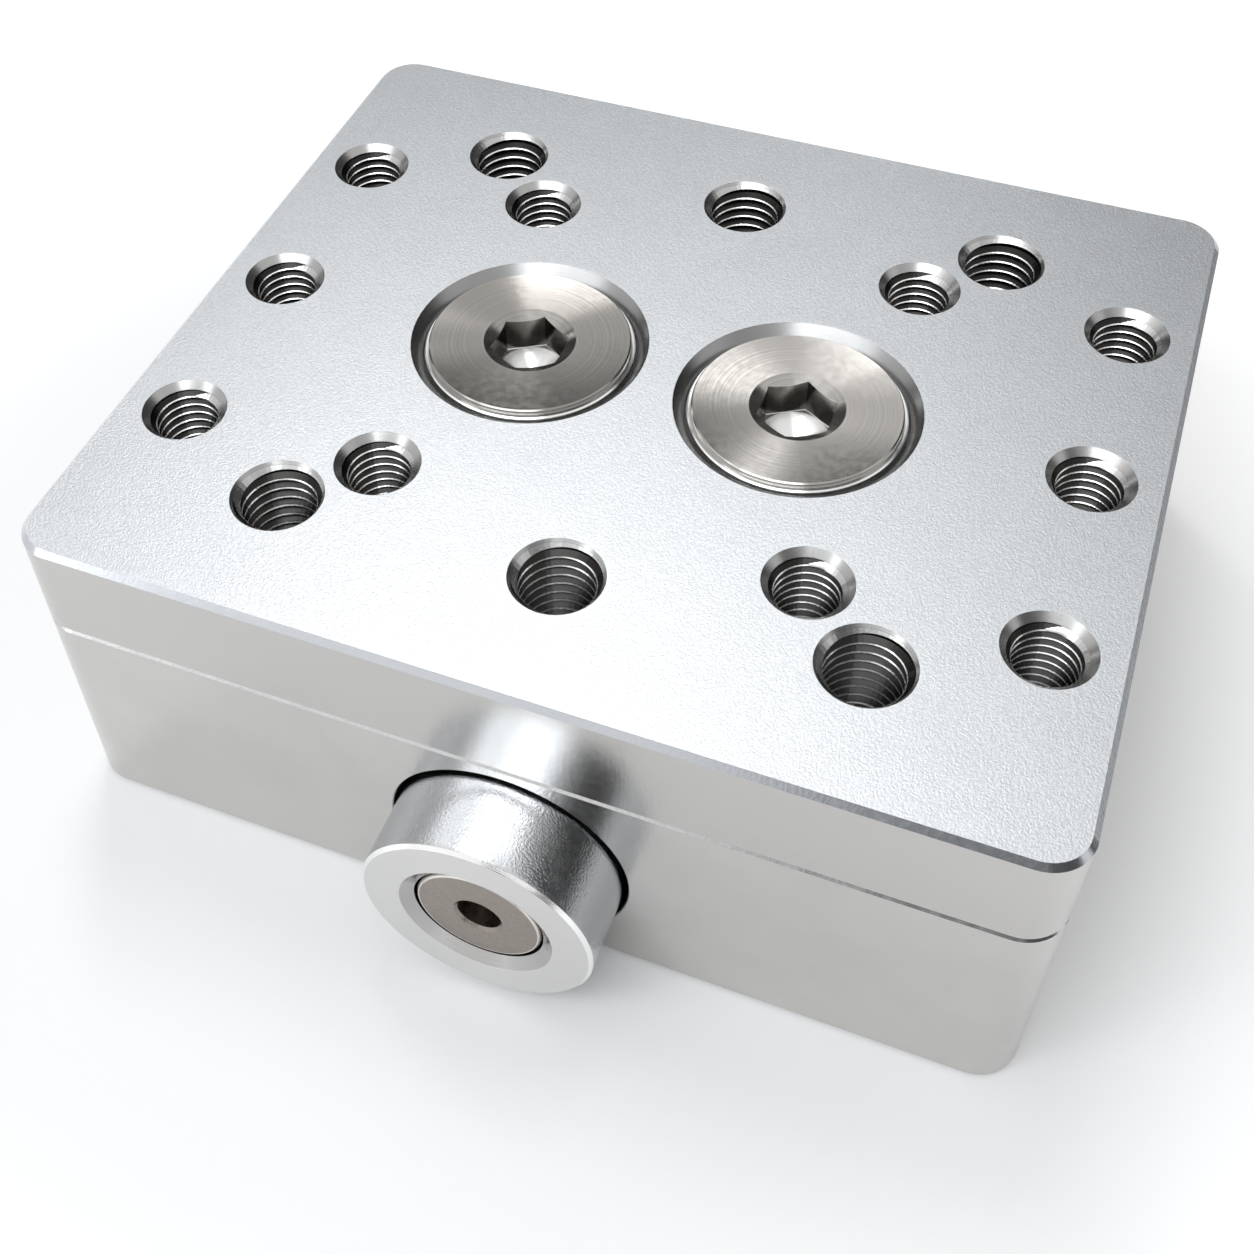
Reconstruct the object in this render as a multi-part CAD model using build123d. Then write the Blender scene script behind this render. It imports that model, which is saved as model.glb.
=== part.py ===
"""Quick change fixture plate: a pallet with two pull studs on a base that locks them with a pushed slide.

Millimetres. The base stands on z = 0, the button looks towards -Y and X runs along the long side.
"""
from build123d import *
import os

# How far a cut reaches past the face that it opens
CUT_MARGIN = 1.0

# Outer blocks
LENGTH = 140.0
WIDTH = 120.0
PALLET_THICKNESS = 16.0
BASE_THICKNESS = 37.0
CORNER_RADIUS = 6.0
TOP_EDGE_CHAMFER = 0.8
PALLET_JOINT_CHAMFER = 0.3
BASE_JOINT_CHAMFER = 0.6
BASE_FOOT_CHAMFER = 0.5

# Tapped grid in the pallet
SIDE_HOLE_X = 60.0
SIDE_HOLE_Y = 30.0
INNER_HOLE_OFFSET = 30.0
LARGE_HOLE_OFFSET = 40.0
SMALL_HOLE_RADIUS = 5.0
SMALL_MOUTH_RADIUS = 6.0
LARGE_HOLE_RADIUS = 6.0
LARGE_MOUTH_RADIUS = 6.4

# Pull studs
STUD_SPACING = 40.0
STUD_RADIUS = 13.0
STUD_FIT = 0.05
FLANGE_RADIUS = 17.0
FLANGE_THICKNESS = 3.5
COLLAR_RADIUS = 12.5
COLLAR_HEIGHT = 3.0
NOSE_CHAMFER = 1.5
STUD_BORE_FLOOR = 1.6

# Stud screws
SCREW_RADIUS = 8.0
SCREW_HEAD_RADIUS = 15.3
SCREW_HEAD_SINK = 0.1
SCREW_HEAD_HEIGHT = 2.4
SCREW_DISC_RADIUS = 14.7
SCREW_DISC_HEIGHT = 0.9
SCREW_HEAD_CHAMFER = 0.2
SCREW_TIP_GAP = 1.5
SCREW_SOCKET_FLATS = 10.0
SCREW_SOCKET_DEPTH = 6.0
SCREW_SOCKET_MOUTH_RADIUS = 6.7
HEAD_BORE_RADIUS = 15.65
HEAD_BORE_MOUTH_RADIUS = 17.3

# Button and push rod
BUTTON_HEIGHT = 17.8
BUTTON_RADIUS = 16.4
BUTTON_GAP = 0.7
BUTTON_LENGTH = 26.5
BUTTON_OUT = 11.5
BUTTON_CHAMFER = 0.5
BUTTON_BORE_DEPTH = 22.0
BUTTON_BORE_CHAMFER = 0.15
BUTTON_RECESS_RADIUS = 9.2
BUTTON_RECESS_MOUTH_RADIUS = 10.9
BUTTON_RECESS_MOUTH_DEPTH = 1.2
BUTTON_RECESS_DEPTH = 7.0
PRESS_TRAVEL = 5.0
ROD_RADIUS = 7.0
ROD_FIT = 0.05
ROD_SPIGOT_RADIUS = 6.0
ROD_NECK_RADIUS = 4.0
ROD_HEAD_RADIUS = 6.0
ROD_BUSH_WALL = 3.0
CAP_HEAD_RADIUS = 8.85
CAP_HEAD_THICKNESS = 5.9
CAP_HOLE_RADIUS = 3.1
CAP_HOLE_DEPTH = 5.0
CAP_SHANK_RADIUS = 4.0
CAP_SHANK_LENGTH = 12.0
RING_RADIUS = 1.3
RING_BACK = 5.0

# Lock slide
SLIDE_LENGTH = 88.0
SLIDE_WIDTH = 48.0
SLIDE_THICKNESS = 6.0
SLIDE_FIT = 0.1
SLIDE_CORNER_RADIUS = 3.0
RELEASE_GAP = 0.4
LOCK_GAP = 0.1
LIP_CHAMFER = 2.5
HOOK_THICKNESS = 4.0
ROD_HEAD_THICKNESS = 6.0
STOP_GAP = 0.1

# Base inside
CAVITY_SIDE_GAP = 2.0
CAVITY_CORNER_RADIUS = 2.5
BUSH_WALL = 3.0
BUSH_LEAD_IN = 0.8
LEDGE_WIDTH = 10.0
COVER_THICKNESS = 6.0
COVER_GAP = 0.15
COVER_CORNER_RADIUS = 6.0
COVER_SCREW_RADIUS = 2.0
COVER_SCREW_HEAD_RADIUS = 4.0
COVER_SCREW_LENGTH = 14.0
COVER_SCREW_SINK = 0.1
COVER_SCREW_INSET = 2.0
COVER_SOCKET_FLATS = 2.5
COVER_SOCKET_DEPTH = 1.8
RAIL_WIDTH = 11.4
RAIL_GAP = 0.1
RAIL_SCREW_SPACING = 32.0
RAIL_SCREW_RADIUS = 2.0
RAIL_SCREW_HEAD_RADIUS = 3.5
RAIL_SCREW_HEAD_HEIGHT = 4.0
RAIL_SCREW_SINK = 0.4
RAIL_SCREW_TIP = 2.0
RAIL_SOCKET_FLATS = 3.0
RAIL_SOCKET_DEPTH = 2.0
RAIL_CORNER_CHAMFER = 2.0

# Detent above the slide
DETENT_Y = 14.0
DETENT_BALL_RADIUS = 2.5
DETENT_DIMPLE_DEPTH = 1.0
DETENT_SPRING_RADIUS = 2.3
DETENT_WIRE = 0.7
DETENT_SPRING_TURNS = 5
DETENT_SCREW_RADIUS = 4.0
DETENT_SCREW_LENGTH = 6.0
DETENT_SCREW_SINK = 0.6
DETENT_MOUTH_CHAMFER = 0.5
DETENT_SOCKET_FLATS = 4.0
DETENT_SOCKET_DEPTH = 3.0

# Holes that bolt the base down
FIXING_X = 61.0
FIXING_Y = 50.0
FIXING_RADIUS = 4.5
FIXING_HEAD_RADIUS = 7.5
FIXING_HEAD_DEPTH = 9.0

# Clearances shared by screws and seats
SCREW_SEAT_GAP = 0.02
CLEAR_HOLE_GAP = 0.4

# Heights and lengths that follow from the values above
TOP_Z = BASE_THICKNESS + PALLET_THICKNESS
SLIDE_BOTTOM = BUTTON_HEIGHT - SLIDE_THICKNESS / 2
SLIDE_TOP = BUTTON_HEIGHT + SLIDE_THICKNESS / 2
ROOF_Z = SLIDE_TOP + SLIDE_FIT
SLIDE_HOLE_RADIUS = COLLAR_RADIUS + RELEASE_GAP
NECK_RADIUS = SLIDE_HOLE_RADIUS - PRESS_TRAVEL - RELEASE_GAP
CONE_TOP = SLIDE_BOTTOM + LIP_CHAMFER + (SLIDE_HOLE_RADIUS - PRESS_TRAVEL) - NECK_RADIUS - LOCK_GAP
COLLAR_TOP = CONE_TOP - (COLLAR_RADIUS - NECK_RADIUS)
STUD_TIP = COLLAR_TOP - COLLAR_HEIGHT - NOSE_CHAMFER
NECK_TOP = SLIDE_TOP + 1.0
FRONT_Y = -WIDTH / 2
CAVITY_FRONT = -SLIDE_WIDTH / 2 - STOP_GAP
CAVITY_BACK = SLIDE_WIDTH / 2 + PRESS_TRAVEL + STOP_GAP
CAVITY_HALF_X = SLIDE_LENGTH / 2 + CAVITY_SIDE_GAP
CAVITY_MID_Y = (CAVITY_FRONT + CAVITY_BACK) / 2
COVER_LENGTH = 2 * (CAVITY_HALF_X + LEDGE_WIDTH)
COVER_WIDTH = CAVITY_BACK - CAVITY_FRONT + 2 * LEDGE_WIDTH
HEAD_CONE_TOP = TOP_Z - SCREW_HEAD_SINK - SCREW_HEAD_HEIGHT
BUTTON_BORE_RADIUS = BUTTON_RADIUS + BUTTON_GAP
BUTTON_BORE_END = FRONT_Y + BUTTON_BORE_DEPTH
BUTTON_FACE = FRONT_Y - BUTTON_OUT
BUTTON_BACK = BUTTON_FACE + BUTTON_LENGTH
ROD_SHOULDER = -SLIDE_WIDTH / 2 - STOP_GAP
ROD_HEAD_FRONT = ROD_SHOULDER + HOOK_THICKNESS + 2 * STOP_GAP
ROD_BUSH_RADIUS = ROD_RADIUS + ROD_BUSH_WALL
RAIL_TOP = SLIDE_BOTTOM - SLIDE_FIT / 2
RAIL_X = CAVITY_HALF_X - RAIL_GAP - RAIL_WIDTH / 2
BALL_Z = SLIDE_TOP - DETENT_DIMPLE_DEPTH + DETENT_BALL_RADIUS
DETENT_SCREW_TOP = BASE_THICKNESS - DETENT_SCREW_SINK
DETENT_SCREW_BOTTOM = DETENT_SCREW_TOP - DETENT_SCREW_LENGTH


def block(length, width, low, high, radius):
    """Return an upright block with rounded vertical corners."""
    return extrude(Plane.XY.offset(low) * RectangleRounded(length, width, radius), high - low)


def column(x, y, low, high, radius):
    """Return an upright cylinder between two heights."""
    return Pos(x, y, low) * Cylinder(radius, high - low, align=(Align.CENTER, Align.CENTER, Align.MIN))


def funnel(x, y, low, low_radius, high, high_radius):
    """Return an upright cone frustum between two heights."""
    shape = Cone(low_radius, high_radius, high - low, align=(Align.CENTER, Align.CENTER, Align.MIN))
    return Pos(x, y, low) * shape


def turned(points):
    """Return the solid of a (radius, height) profile turned about Z."""
    return revolve(make_face(Plane.XZ * Polyline(*points, close=True)), Axis.Z)


def turned_along_y(points):
    """Return the solid of a (radius, y) profile turned about the button axis."""
    return Pos(0, 0, BUTTON_HEIGHT) * revolve(make_face(Polyline(*points, close=True)), Axis.Y)


def socket(x, y, flats, depth, top):
    """Return the cutter of a hexagon socket with a drilled cone below it."""
    hexagon = RegularPolygon(flats / 2, 6, major_radius=False, rotation=30)
    outline = Plane.XY.offset(top - depth) * Pos(x, y) * hexagon
    floor = funnel(x, y, top - depth - flats / 6, 0.2, top - depth, flats / 2 - 0.05)
    return extrude(outline, depth + 1) + floor


def corners(x, y):
    """Return the four corner points of a centred rectangle."""
    return [(i * x, j * y) for i in (-1, 1) for j in (-1, 1)]


def stud_points():
    """Return the two stud centres, left then right."""
    return [(-STUD_SPACING / 2, 0), (STUD_SPACING / 2, 0)]


def small_hole_points():
    """Return the centres of the smaller tapped holes."""
    middle = [(-SIDE_HOLE_X, 0), (SIDE_HOLE_X, 0)]
    inner = corners(INNER_HOLE_OFFSET, INNER_HOLE_OFFSET)
    return corners(SIDE_HOLE_X, SIDE_HOLE_Y) + middle + inner


def large_hole_points():
    """Return the centres of the larger tapped holes."""
    middle = [(0, -LARGE_HOLE_OFFSET), (0, LARGE_HOLE_OFFSET)]
    return corners(LARGE_HOLE_OFFSET, LARGE_HOLE_OFFSET) + middle


def cover_screw_points():
    """Return the cover screw centres on the middle of the ledge."""
    x = CAVITY_HALF_X + LEDGE_WIDTH / 2
    front = CAVITY_FRONT - LEDGE_WIDTH / 2 + COVER_SCREW_INSET
    back = CAVITY_BACK + LEDGE_WIDTH / 2 - COVER_SCREW_INSET
    return [(i * x, y) for i in (-1, 1) for y in (front, CAVITY_MID_Y, back)]


def rail_screw_points(x):
    """Return the two screw centres of the rail at x."""
    return [(x, CAVITY_MID_Y + i * RAIL_SCREW_SPACING / 2) for i in (-1, 1)]


# Pallet with its tapped grid and the two stepped stud seats
def make_top_plate():
    plate = block(LENGTH, WIDTH, BASE_THICKNESS, TOP_Z, CORNER_RADIUS)
    plate = chamfer(plate.faces().sort_by(Axis.Z)[-1].edges(), TOP_EDGE_CHAMFER)
    plate = chamfer(plate.faces().sort_by(Axis.Z)[0].edges(), PALLET_JOINT_CHAMFER)
    cuts = []
    for x, y in small_hole_points():
        cuts += tapped_hole(x, y, SMALL_HOLE_RADIUS, SMALL_MOUTH_RADIUS)
    for x, y in large_hole_points():
        cuts += tapped_hole(x, y, LARGE_HOLE_RADIUS, LARGE_MOUTH_RADIUS)
    for x, y in stud_points():
        cuts += stud_seat(x, y)
    return plate - cuts


def tapped_hole(x, y, radius, mouth_radius):
    """Return the cutters of a tapped hole, chamfered at both ends."""
    depth = mouth_radius - radius
    bore = column(x, y, BASE_THICKNESS - CUT_MARGIN, TOP_Z + CUT_MARGIN, radius)
    mouth = funnel(x, y, TOP_Z - depth, radius, TOP_Z + CUT_MARGIN, mouth_radius + CUT_MARGIN)
    relief = funnel(x, y, BASE_THICKNESS - 1, radius + 1.5, BASE_THICKNESS + 0.5, radius)
    return [bore, mouth, relief]


def stud_seat(x, y):
    """Return the cutters of a stepped seat for a stud and its screw."""
    hole_radius = SCREW_RADIUS + CLEAR_HOLE_GAP
    mouth_depth = HEAD_BORE_MOUTH_RADIUS - HEAD_BORE_RADIUS
    cone_top = HEAD_CONE_TOP + HEAD_BORE_RADIUS - SCREW_HEAD_RADIUS
    cone_bottom = cone_top - (HEAD_BORE_RADIUS - hole_radius)
    recess_radius = FLANGE_RADIUS + 2 * SCREW_SEAT_GAP
    recess = column(x, y, BASE_THICKNESS - 1, BASE_THICKNESS + FLANGE_THICKNESS, recess_radius)
    hole = column(x, y, BASE_THICKNESS, TOP_Z, hole_radius)
    cone = funnel(x, y, cone_bottom, hole_radius, cone_top, HEAD_BORE_RADIUS)
    bore = column(x, y, cone_top, TOP_Z + CUT_MARGIN, HEAD_BORE_RADIUS)
    mouth_radius = HEAD_BORE_MOUTH_RADIUS + CUT_MARGIN
    mouth = funnel(x, y, TOP_Z - mouth_depth, HEAD_BORE_RADIUS, TOP_Z + CUT_MARGIN, mouth_radius)
    return [recess, hole, cone, bore, mouth]


# Pull stud: flange, guide barrel, neck for the slide and a collar with a conical upper face
def make_stud(x, y):
    flange_top = BASE_THICKNESS + FLANGE_THICKNESS - SCREW_SEAT_GAP
    bore_floor = NECK_TOP + STUD_BORE_FLOOR
    tip_radius = COLLAR_RADIUS - NOSE_CHAMFER
    points = [
        (0, STUD_TIP),
        (tip_radius, STUD_TIP),
        (COLLAR_RADIUS, STUD_TIP + NOSE_CHAMFER),
        (COLLAR_RADIUS, COLLAR_TOP),
        (NECK_RADIUS, CONE_TOP),
        (NECK_RADIUS, NECK_TOP),
        (STUD_RADIUS - 1, NECK_TOP),
        (STUD_RADIUS, NECK_TOP + 1),
        (STUD_RADIUS, BASE_THICKNESS),
        (FLANGE_RADIUS, BASE_THICKNESS),
        (FLANGE_RADIUS, flange_top),
        (0, flange_top),
    ]
    bore = column(0, 0, bore_floor, flange_top + 1, SCREW_RADIUS)
    lead_in = funnel(0, 0, flange_top - 0.6, SCREW_RADIUS, flange_top + 0.4, SCREW_RADIUS + 1)
    return Pos(x, y, 0) * (turned(points) - bore - lead_in)


# Countersunk stud screw: a raised disc on a rim, with a hexagon socket
def make_stud_screw(x, y):
    head_top = TOP_Z - SCREW_HEAD_SINK
    shank_radius = SCREW_RADIUS - SCREW_SEAT_GAP
    cone_bottom = HEAD_CONE_TOP - (SCREW_HEAD_RADIUS - shank_radius)
    tip = NECK_TOP + STUD_BORE_FLOOR + SCREW_TIP_GAP
    rim_top = head_top - SCREW_DISC_HEIGHT
    points = [
        (0, tip),
        (shank_radius - 1.2, tip),
        (shank_radius, tip + 1.2),
        (shank_radius, cone_bottom),
        (SCREW_HEAD_RADIUS, HEAD_CONE_TOP),
        (SCREW_HEAD_RADIUS, rim_top - SCREW_HEAD_CHAMFER),
        (SCREW_HEAD_RADIUS - SCREW_HEAD_CHAMFER, rim_top),
        (SCREW_DISC_RADIUS, rim_top),
        (SCREW_DISC_RADIUS, head_top - SCREW_HEAD_CHAMFER),
        (SCREW_DISC_RADIUS - SCREW_HEAD_CHAMFER, head_top),
        (0, head_top),
    ]
    mouth_depth = (SCREW_SOCKET_MOUTH_RADIUS - SCREW_SOCKET_FLATS / 2) / 2
    mouth = funnel(0, 0, head_top - mouth_depth, SCREW_SOCKET_FLATS / 2, head_top, SCREW_SOCKET_MOUTH_RADIUS)
    cut = socket(0, 0, SCREW_SOCKET_FLATS, SCREW_SOCKET_DEPTH, head_top)
    return Pos(x, y, 0) * (turned(points) - cut - mouth)


# Base block with the slide cavity, the cover recess, the bush seats and the button bore
def make_base_plate():
    base = block(LENGTH, WIDTH, 0, BASE_THICKNESS, CORNER_RADIUS)
    base = chamfer(base.faces().sort_by(Axis.Z)[-1].edges(), BASE_JOINT_CHAMFER)
    base = chamfer(base.faces().sort_by(Axis.Z)[0].edges(), BASE_FOOT_CHAMFER)
    cavity_width = CAVITY_BACK - CAVITY_FRONT
    cuts = [
        Pos(0, CAVITY_MID_Y, 0) * block(2 * CAVITY_HALF_X, cavity_width, -1, ROOF_Z, CAVITY_CORNER_RADIUS),
        Pos(0, CAVITY_MID_Y, 0) * block(COVER_LENGTH, COVER_WIDTH, -1, COVER_THICKNESS, COVER_CORNER_RADIUS),
        button_bore(),
        rod_channel(),
    ]
    for x, y in stud_points():
        cuts.append(column(x, y, ROOF_Z - 1, BASE_THICKNESS + 1, STUD_RADIUS + STUD_FIT + BUSH_WALL))
    for x, y in cover_screw_points():
        cuts.append(column(x, y, 0, COVER_SCREW_LENGTH + 1, COVER_SCREW_RADIUS))
    for x, y in corners(FIXING_X, FIXING_Y):
        cuts.append(column(x, y, -1, BASE_THICKNESS + 1, FIXING_RADIUS))
        cuts.append(column(x, y, BASE_THICKNESS - FIXING_HEAD_DEPTH, BASE_THICKNESS + 1, FIXING_HEAD_RADIUS))
    return base - cuts - detent_bore()


def rod_channel():
    """Return the stepped bore that the push rod and its head run in."""
    barrel = ROD_RADIUS + RELEASE_GAP
    head = ROD_HEAD_RADIUS + RELEASE_GAP
    step = ROD_SHOULDER + PRESS_TRAVEL + STOP_GAP
    end = ROD_HEAD_FRONT + ROD_HEAD_THICKNESS + PRESS_TRAVEL
    outline = [(0, CAVITY_FRONT), (barrel, CAVITY_FRONT), (barrel, step), (head, step), (head, end), (0, end)]
    return turned_along_y(outline)


def button_bore():
    """Return the cutters of the bore that the button slides in."""
    mouth = BUTTON_BORE_RADIUS + BUTTON_BORE_CHAMFER
    points = [
        (0, FRONT_Y - 1),
        (mouth, FRONT_Y - 1),
        (mouth, FRONT_Y),
        (BUTTON_BORE_RADIUS, FRONT_Y + BUTTON_BORE_CHAMFER),
        (BUTTON_BORE_RADIUS, BUTTON_BORE_END),
        (ROD_BUSH_RADIUS, BUTTON_BORE_END),
        (ROD_BUSH_RADIUS, CAVITY_FRONT + 1),
        (0, CAVITY_FRONT + 1),
    ]
    return turned_along_y(points)


def detent_bore():
    """Return the cutters of the bore of the ball, spring and set screw."""
    ball_way = column(0, DETENT_Y, ROOF_Z - 1, BASE_THICKNESS, DETENT_BALL_RADIUS + 0.15)
    spring_way = column(0, DETENT_Y, BALL_Z + 1, BASE_THICKNESS, DETENT_SPRING_RADIUS + DETENT_WIRE)
    thread = column(0, DETENT_Y, DETENT_SCREW_BOTTOM, BASE_THICKNESS + 1, DETENT_SCREW_RADIUS)
    mouth_radius = DETENT_SCREW_RADIUS + DETENT_MOUTH_CHAMFER
    mouth_bottom = BASE_THICKNESS - DETENT_MOUTH_CHAMFER
    mouth = funnel(0, DETENT_Y, mouth_bottom, DETENT_SCREW_RADIUS, BASE_THICKNESS, mouth_radius)
    return [ball_way, spring_way, thread, mouth]


# Hardened bush that guides the stud barrel
def make_guide_bush(x, y):
    inner = STUD_RADIUS + STUD_FIT
    outer = inner + BUSH_WALL - SCREW_SEAT_GAP
    points = [
        (inner, ROOF_Z),
        (outer, ROOF_Z),
        (outer, BASE_THICKNESS),
        (inner + BUSH_LEAD_IN, BASE_THICKNESS),
        (inner, BASE_THICKNESS - BUSH_LEAD_IN),
    ]
    return Pos(x, y, 0) * turned(points)


# Bronze bush that guides the push rod
def make_rod_bush():
    inner = ROD_RADIUS + ROD_FIT
    outer = ROD_BUSH_RADIUS - SCREW_SEAT_GAP
    points = [
        (inner, BUTTON_BORE_END),
        (outer, BUTTON_BORE_END),
        (outer, CAVITY_FRONT),
        (inner, CAVITY_FRONT),
    ]
    return turned_along_y(points)


# Lock slide: two release holes with conical lips and a hook slot for the rod head
def make_lock_slide():
    slide = block(SLIDE_LENGTH, SLIDE_WIDTH, SLIDE_BOTTOM, SLIDE_TOP, SLIDE_CORNER_RADIUS)
    front = -SLIDE_WIDTH / 2
    lip_radius = SLIDE_HOLE_RADIUS + LIP_CHAMFER
    cuts = []
    for x, y in stud_points():
        cuts.append(column(x, y, SLIDE_BOTTOM - 1, SLIDE_TOP + 1, SLIDE_HOLE_RADIUS))
        lip_top = SLIDE_BOTTOM + LIP_CHAMFER
        cuts.append(funnel(x, y, SLIDE_BOTTOM - 1, lip_radius + 1, lip_top, SLIDE_HOLE_RADIUS))
    neck_width = 2 * (ROD_NECK_RADIUS + RELEASE_GAP)
    head_width = 2 * (ROD_HEAD_RADIUS + RELEASE_GAP)
    head_depth = ROD_HEAD_THICKNESS + STOP_GAP
    middle = (Align.CENTER, Align.MIN, Align.CENTER)
    slot = Box(neck_width, HOOK_THICKNESS + 2 * CUT_MARGIN, 2 * SLIDE_THICKNESS, align=middle)
    cuts.append(Pos(0, front - CUT_MARGIN, BUTTON_HEIGHT) * slot)
    window = Box(head_width, head_depth, 2 * SLIDE_THICKNESS, align=middle)
    cuts.append(Pos(0, front + HOOK_THICKNESS, BUTTON_HEIGHT) * window)
    for y in (DETENT_Y, DETENT_Y - PRESS_TRAVEL):
        cuts.append(Pos(0, y, BALL_Z) * Sphere(DETENT_BALL_RADIUS + 0.03))
    return slide - cuts


# Push rod: spigot in the button, barrel in the bush, neck and head in the slide's hook slot
def make_push_rod():
    spigot_front = BUTTON_FACE + BUTTON_RECESS_DEPTH + 0.1
    spigot_radius = ROD_SPIGOT_RADIUS - SCREW_SEAT_GAP
    rear = ROD_HEAD_FRONT + ROD_HEAD_THICKNESS - 2 * STOP_GAP
    points = [
        (0, spigot_front),
        (spigot_radius, spigot_front),
        (spigot_radius, BUTTON_BACK),
        (ROD_RADIUS, BUTTON_BACK),
        (ROD_RADIUS, ROD_SHOULDER),
        (ROD_NECK_RADIUS, ROD_SHOULDER),
        (ROD_NECK_RADIUS, ROD_HEAD_FRONT),
        (ROD_HEAD_RADIUS, ROD_HEAD_FRONT),
        (ROD_HEAD_RADIUS, rear - 0.8),
        (ROD_HEAD_RADIUS - 0.8, rear),
        (0, rear),
    ]
    end = spigot_front + CAP_SHANK_LENGTH + 2
    start = spigot_front - CUT_MARGIN
    bore = [(0, start), (CAP_SHANK_RADIUS, start), (CAP_SHANK_RADIUS, end), (0, end + 2)]
    return turned_along_y(points) - turned_along_y(bore)


# Button: satin cap with a chamfered recess, a bored web and a groove for the sealing ring
def make_push_button():
    floor = BUTTON_FACE + BUTTON_RECESS_DEPTH
    points = [
        (ROD_SPIGOT_RADIUS, BUTTON_BACK),
        (ROD_SPIGOT_RADIUS, floor),
        (BUTTON_RECESS_RADIUS, floor),
        (BUTTON_RECESS_RADIUS, BUTTON_FACE + BUTTON_RECESS_MOUTH_DEPTH),
        (BUTTON_RECESS_MOUTH_RADIUS, BUTTON_FACE),
        (BUTTON_RADIUS - BUTTON_CHAMFER, BUTTON_FACE),
        (BUTTON_RADIUS, BUTTON_FACE + BUTTON_CHAMFER),
        (BUTTON_RADIUS, BUTTON_BACK - BUTTON_CHAMFER),
        (BUTTON_RADIUS - BUTTON_CHAMFER, BUTTON_BACK),
    ]
    groove_bottom = BUTTON_BORE_RADIUS - ROD_FIT - 2 * RING_RADIUS - 0.05
    low = BUTTON_BACK - RING_BACK - RING_RADIUS - 0.1
    high = BUTTON_BACK - RING_BACK + RING_RADIUS + 0.1
    outside = BUTTON_RADIUS + CUT_MARGIN
    groove = [(groove_bottom, low), (outside, low), (outside, high), (groove_bottom, high)]
    return turned_along_y(points) - turned_along_y(groove)


# Screw that holds the button on the rod
def make_button_screw():
    seat = BUTTON_FACE + BUTTON_RECESS_DEPTH
    front = seat - CAP_HEAD_THICKNESS
    shank = CAP_SHANK_RADIUS - SCREW_SEAT_GAP
    end = seat + CAP_SHANK_LENGTH
    points = [
        (0, front + CAP_HOLE_DEPTH),
        (CAP_HOLE_RADIUS, front + CAP_HOLE_DEPTH),
        (CAP_HOLE_RADIUS, front + 0.4),
        (CAP_HOLE_RADIUS + 0.4, front),
        (CAP_HEAD_RADIUS - 0.3, front),
        (CAP_HEAD_RADIUS, front + 0.3),
        (CAP_HEAD_RADIUS, seat),
        (shank, seat),
        (shank, end - 1),
        (shank - 1, end),
        (0, end),
    ]
    return turned_along_y(points)


# Sealing ring in the button's groove
def make_button_ring():
    centre = Pos(BUTTON_BORE_RADIUS - ROD_FIT - RING_RADIUS, BUTTON_BACK - RING_BACK)
    section = centre * RegularPolygon(RING_RADIUS, 8, major_radius=False, rotation=22.5)
    return Pos(0, 0, BUTTON_HEIGHT) * revolve(section, Axis.Y)


# Cover that closes the cavity from below
def make_bottom_cover():
    length = COVER_LENGTH - 2 * COVER_GAP
    width = COVER_WIDTH - 2 * COVER_GAP
    corner_radius = COVER_CORNER_RADIUS - COVER_GAP
    cover = Pos(0, CAVITY_MID_Y, 0) * block(length, width, 0, COVER_THICKNESS, corner_radius)
    cuts = []
    for x, y in cover_screw_points():
        sink = COVER_SCREW_HEAD_RADIUS + COVER_SCREW_SINK + SCREW_SEAT_GAP
        hole = COVER_SCREW_RADIUS + CLEAR_HOLE_GAP / 2
        cuts.append(column(x, y, -1, COVER_THICKNESS + 1, hole))
        cuts.append(funnel(x, y, -0.5, sink + 0.5, sink - hole, hole))
    for x in (-RAIL_X, RAIL_X):
        for px, py in rail_screw_points(x):
            cuts.append(column(px, py, RAIL_SCREW_TIP - 0.5, COVER_THICKNESS + 1, RAIL_SCREW_RADIUS))
    return cover - cuts


# Countersunk cover screws as one group of solids
def make_cover_screws():
    shank = COVER_SCREW_RADIUS - SCREW_SEAT_GAP
    head = COVER_SCREW_HEAD_RADIUS
    low = COVER_SCREW_SINK
    neck = low + head - shank
    points = [(0, low), (head, low), (shank, neck), (shank, COVER_SCREW_LENGTH), (0, COVER_SCREW_LENGTH)]
    cut = Pos(0, 0, low) * Rot(180, 0, 0) * socket(0, 0, COVER_SOCKET_FLATS, COVER_SOCKET_DEPTH, 0)
    screw = turned(points) - cut
    return Compound([Pos(x, y, 0) * screw for x, y in cover_screw_points()])


# Wear rail that carries one side of the slide
def make_guide_rail(x):
    front = CAVITY_FRONT + RAIL_GAP
    length = CAVITY_BACK - CAVITY_FRONT - 2 * RAIL_GAP
    corner = (Align.CENTER, Align.MIN, Align.MIN)
    rail = Pos(x, front, COVER_THICKNESS) * Box(RAIL_WIDTH, length, RAIL_TOP - COVER_THICKNESS, align=corner)
    rail = chamfer(rail.edges().filter_by(Axis.Z), RAIL_CORNER_CHAMFER)
    cuts = []
    for px, py in rail_screw_points(x):
        head_floor = RAIL_TOP - RAIL_SCREW_HEAD_HEIGHT - RAIL_SCREW_SINK
        cuts.append(column(px, py, COVER_THICKNESS - 1, RAIL_TOP + 1, RAIL_SCREW_RADIUS + CLEAR_HOLE_GAP / 2))
        cuts.append(column(px, py, head_floor, RAIL_TOP + 1, RAIL_SCREW_HEAD_RADIUS + CLEAR_HOLE_GAP / 2))
    return rail - cuts


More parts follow.
